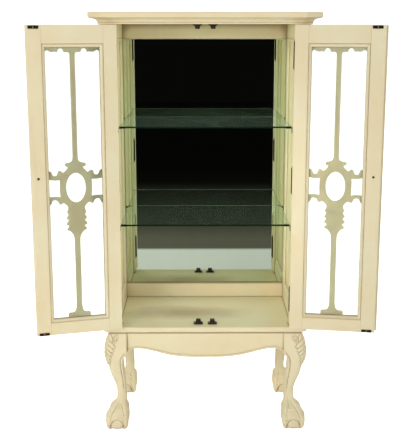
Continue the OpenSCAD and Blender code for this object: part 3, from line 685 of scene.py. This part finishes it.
def leg_mesh():
    leg = Solid()
    mid = lambda z: float(through([0, 15, 27, 38, 50, 62, 72, 83, 94, 105, 130, 150],
                                  [41.9, 41.9, 41.6, 41.8, 39.0, 37.4, 35.2, 31.8, 28.3, 26.3, 24.4, 25.5], z))
    rings = []
    # the web between the toes, whose lower edge arches over the ball on each side
    for z, h, lift in ((25, 41.6, 17), (32, 41.6, 15.5), (39, 41.2, 12.5), (47, 39.6, 8.5), (55, 37.6, 5), (62, 35.8, 2.5)):
        rings.append(section(z, mid(z) - h, mid(z) + h, 3.7, lift=lift))
    rim = rings[0]
    for z in list(np.arange(68, 130, 3.0)) + list(np.arange(130, 379, 4.0)) + [379.0]:
        rings.append(section(z, *station(z), flush=flush_at(z, station(z)[2])))
    leg.shell(rings)
    # the foot: a ball held by four toes
    leg.cushion((41.9, 41.9, 21.0), 39.6, 24.5, 3.2, 2.2)
    toe = [(150, 5.0, 7.0), (130, 8.0, 8.0), (116, 8.8, 8.6), (105, 9.2, 9.0), (94, 11.4, 9.8), (88, 14.0, 10.4),
           (83, 16.6, 11.0), (77, 21.0, 11.6), (72, 23.6, 11.8), (67, 25.4, 11.0), (61, 26.6, 10.0), (55, 27.8, 9.8),
           (50, 28.8, 10.4), (44, 30.2, 11.6), (38, 31.0, 11.8), (32, 31.6, 10.9), (27, 32.2, 9.7), (20, 32.3, 9.0),
           (14, 31.4, 8.3), (9, 29.6, 7.3), (5, 27.6, 6.3), (2, 26.0, 5.2)]
    for a in (-1, 1):
        for b in (-1, 1):
            leg.tube([(mid(z) + a * w, mid(z) + b * w, z) for z, w, r in toe], [r for z, w, r in toe])
    n = len(rim)
    for q in range(4):
        arch = [rim[(k + q * n // 4) % n] for k in range(-7, 8)]
        leg.tube([(x, y, z + 1.0) for x, y, z in arch], [1.9] * 15, n=12, step=1.5)
    for flip in (False, True):
        pts = []
        for u, z in BEAD:
            v = on_face(u, z) + 0.6
            pts.append((v, u, z) if flip else (u, v, z))
        leg.tube(pts, BEAD_R, n=16)
    me = bpy.data.meshes.new("leg_draft")
    me.from_pydata([tuple(c / 1000 for c in p) for p in leg.v], [], leg.f)
    me.validate()
    me.update()
    o = bpy.data.objects.new("leg_draft", me)
    coll.objects.link(o)
    r = o.modifiers.new("skin", "REMESH")
    r.mode = "VOXEL"
    r.voxel_size = 0.0012
    w = o.modifiers.new("sand", "SMOOTH")
    w.factor = 0.5
    w.iterations = 2
    dg = bpy.context.evaluated_depsgraph_get()
    dg.update()
    out = bpy.data.meshes.new_from_object(o.evaluated_get(dg))
    bpy.data.objects.remove(o)
    n = len(out.vertices)
    co, nor = np.empty(n * 3), np.empty(n * 3)
    out.vertices.foreach_get("co", co)
    out.vertex_normals.foreach_get("vector", nor)
    co, nor = co.reshape(-1, 3) * 1000, nor.reshape(-1, 3)
    co += nor * carve(co)[:, None]
    co[:, 2] = np.clip(co[:, 2], 0.0, 379.0)
    co[:, 0] = np.clip(co[:, 0], -1.2, 86.4)
    co[:, 1] = np.clip(co[:, 1], -1.2, 86.4)
    return out, co / 1000


draft, leg_co = leg_mesh()
# the back legs stand a little nearer the middle below their blocks
tucked = 0.007 * np.clip((0.302 - leg_co[:, 2]) / 0.050, 0, 1)
tucked += 0.12 * np.clip(leg_co[:, 0] - 0.042, 0, 1) * np.clip((0.110 - leg_co[:, 2]) / 0.030, 0, 1)
for name, sx, back in (("front_left", -1, False), ("front_right", 1, False), ("back_left", -1, True),
                       ("back_right", 1, True)):
    me = draft.copy()
    me.name = "carved_leg_" + name
    co = leg_co.copy()
    co[:, 0] = sx * (0.288 + leg_co[:, 0] - (tucked if back else 0.0))
    co[:, 1] = Y0 + (0.334 + leg_co[:, 1] if back else 0.072 - leg_co[:, 1])
    me.vertices.foreach_set("co", co.ravel())
    if (sx < 0) == back:
        me.flip_normals()
    me.polygons.foreach_set("use_smooth", [True] * len(me.polygons))
    me.update()
    o = bpy.data.objects.new("carved_leg_" + name, me)
    coll.objects.link(o)
    me.materials.clear()
    me.materials.append(M["n"])
    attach(o, "cabinet")
    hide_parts("leg_" + name)

# the bead worked along the lower edge of the front apron, running into the beads of the legs
bead = Solid()
xs = np.linspace(-286.5, 286.5, 171)
p = 288.0 - 38.0
low = np.where(np.abs(xs) < p, 379.0 - 96.0 + 34.0 * (0.5 - 0.5 * np.cos(np.pi * (np.abs(xs) / p).clip(0, 1) ** 1.65)),
               379.0 - 62.0 - 14.0 * ((np.abs(xs) - p) / 38.0) ** 2)
bead.tube(np.stack([xs, np.full(len(xs), -149.6), low + 0.6], axis=1), [3.9] * len(xs), n=16, step=3.5)
me = bpy.data.meshes.new("apron_bead")
me.from_pydata([tuple(c / 1000 for c in q) for q in bead.v], [], bead.f)
me.validate()
me.polygons.foreach_set("use_smooth", [True] * len(me.polygons))
me.update()
o = bpy.data.objects.new("apron_bead", me)
coll.objects.link(o)
me.materials.append(M["x"])
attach(o, "cabinet")

# ------------------------------------------------------------------ stage, light, camera
bm = bmesh.new()
bmesh.ops.create_grid(bm, x_segments=2, y_segments=2, size=14.0)
me = bpy.data.meshes.new("stage_floor")
bm.to_mesh(me)
bm.free()
floor = bpy.data.objects.new("stage_floor", me)
coll.objects.link(floor)

t = Tree("stage_floor")
lp = t.node("LightPath")
seen = t.math("MULTIPLY", t.math("GREATER_THAN", lp.outputs["Glossy Depth"], 0.5),
              t.math("LESS_THAN", lp.outputs["Diffuse Depth"], 0.5))
geo = t.node("NewGeometry")
sep = t.node("SeparateXYZ")
t.link(geo.outputs["Position"], sep.inputs[0])
paper = t.remap(sep.outputs[1], -2.20, -2.14)
haze = t.math("ADD", t.math("ADD", t.remap(sep.outputs[1], -2.95, -2.45, 0.0, 0.50),
                            t.remap(sep.outputs[1], -4.35, -2.95, 0.0, 0.24)), t.remap(sep.outputs[1], -4.8, -4.35, 0.02, 0.20))
beyond = t.mix(haze, (0.0045, 0.0045, 0.0032, 1), (0.124, 0.118, 0.088, 1))
studio = t.mix(paper, beyond, (0.69, 0.70, 0.675, 1))
speck = t.noise(t.coords(), 40.0, 3.0)
pale = t.mix(t.remap(speck, 0.3, 0.7), (0.90, 0.90, 0.895, 1), (0.93, 0.93, 0.925, 1))
p = principled(t, t.mix(seen, pale, studio), 0.9, spec=0.1)
glow = t.node("Emission")
glow.inputs["Color"].default_value = (1, 1, 1, 1)
glow.inputs["Strength"].default_value = 0.72
both = t.node("AddShader")
t.link(p.outputs[0], both.inputs[0])
t.link(glow.outputs[0], both.inputs[1])
direct = t.node("MixShader")
t.link(t.math("MULTIPLY", lp.outputs["Is Camera Ray"], 1.0), direct.inputs[0])
t.link(p.outputs[0], direct.inputs[1])
t.link(both.outputs[0], direct.inputs[2])
t.link(direct.outputs[0], t.out.inputs["Surface"])
floor.data.materials.append(t.mat)

world = bpy.data.worlds.new("studio")
scene.world = world
world.use_nodes = True
wt = world.node_tree
wt.nodes.clear()
wo = wt.nodes.new("ShaderNodeOutputWorld")
lp = wt.nodes.new("ShaderNodeLightPath")


def wmath(op, a, b):
    n = wt.nodes.new("ShaderNodeMath")
    n.operation = op
    for i, v in enumerate((a, b)):
        if isinstance(v, bpy.types.NodeSocket):
            wt.links.new(v, n.inputs[i])
        else:
            n.inputs[i].default_value = v
    return n.outputs[0]


def backdrop(color, strength):
    b = wt.nodes.new("ShaderNodeBackground")
    b.inputs[0].default_value = color
    b.inputs[1].default_value = strength
    return b.outputs[0]


def wmix(fac, a, b):
    m = wt.nodes.new("ShaderNodeMixShader")
    wt.links.new(fac, m.inputs[0])
    wt.links.new(a, m.inputs[1])
    wt.links.new(b, m.inputs[2])
    return m.outputs[0]


in_mirror = wmath("GREATER_THAN", lp.outputs["Glossy Depth"], 0.5)
lit = wmath("GREATER_THAN", lp.outputs["Diffuse Depth"], 0.5)
sky = wmix(in_mirror, backdrop((1, 1, 1, 1), 1.30), backdrop((1, 1, 0.85, 1), 0.0035))
wc = wt.nodes.new("ShaderNodeTexCoord")
ws = wt.nodes.new("ShaderNodeSeparateXYZ")
wt.links.new(wc.outputs["Generated"], ws.inputs[0])
behind = wt.nodes.new("ShaderNodeMapRange")
behind.interpolation_type = "SMOOTHSTEP"
wt.links.new(ws.outputs[1], behind.inputs[0])
behind.inputs[1].default_value = -0.20
behind.inputs[2].default_value = 0.30
ambient = wmix(behind.outputs[0], backdrop((1.0, 0.99, 0.97, 1), 0.16), backdrop((1.0, 1.0, 0.99, 1), 1.25))
sky = wmix(lit, sky, ambient)
wt.links.new(sky, wo.inputs[0])


def area(name, loc, aim, size, power, color=(1, 1, 1), glossy=True, spread=180.0):
    l = bpy.data.lights.new(name, "AREA")
    l.shape = "RECTANGLE"
    l.size, l.size_y = size
    l.energy = power
    l.spread = math.radians(spread)
    l.color = color
    o = bpy.data.objects.new(name, l)
    o.location = loc
    o.rotation_euler = (Vector(aim) - Vector(loc)).to_track_quat("-Z", "Y").to_euler()
    coll.objects.link(o)
    o.visible_glossy = glossy
    o.visible_transmission = glossy
    o.visible_camera = False
    return o


area("key", (-2.2, -3.5, 2.15), (0, 0, 0.8), (2.0, 1.4), 68, (1.0, 0.985, 0.955))
area("fill", (2.3, -3.5, 2.15), (0, 0, 0.8), (2.0, 1.4), 32, (1.0, 0.99, 0.97))
area("from_mirror", (0.0, 0.21, 0.95), (0.0, -1.0, 0.95), (0.60, 0.90), 1.7, (1.0, 1.0, 0.90), False)
area("low_fill", (-0.8, -2.8, 0.45), (-0.1, -0.1, 0.10), (1.2, 0.3), 0.85, (1.0, 0.99, 0.95), False, 45.0)
area("inside_fill", (-0.42, -1.45, 1.10), (0.30, 0.10, 0.88), (0.25, 0.40), 0.25, (1.0, 0.98, 0.92), False, 34.0)
area("back_fill", (0.0, -1.3, 1.02), (0.0, 0.24, 0.43), (0.45, 0.10), 0.038, (1.0, 0.95, 0.86), False, 22.0)

cam_data = bpy.data.cameras.new("camera")
cam_data.sensor_width = 36.0
cam_data.sensor_fit = "AUTO"
cam_data.lens = 74.0
cam_data.clip_start = 0.05
cam_data.clip_end = 100.0
cam = bpy.data.objects.new("camera", cam_data)
cam.location = (-0.0221, -3.3425, 1.4836)
cam.rotation_euler = (math.radians(90 - 12.244), math.radians(0.0), math.radians(-0.374))
coll.objects.link(cam)
scene.camera = cam

scene.view_settings.view_transform = "Standard"
scene.view_settings.look = "None"
scene.cycles.use_denoising = True
scene.cycles.max_bounces = 14
scene.cycles.diffuse_bounces = 5
scene.cycles.glossy_bounces = 6
scene.cycles.transmission_bounces = 12
scene.cycles.transparent_max_bounces = 24
scene.cycles.sample_clamp_indirect = 8.0
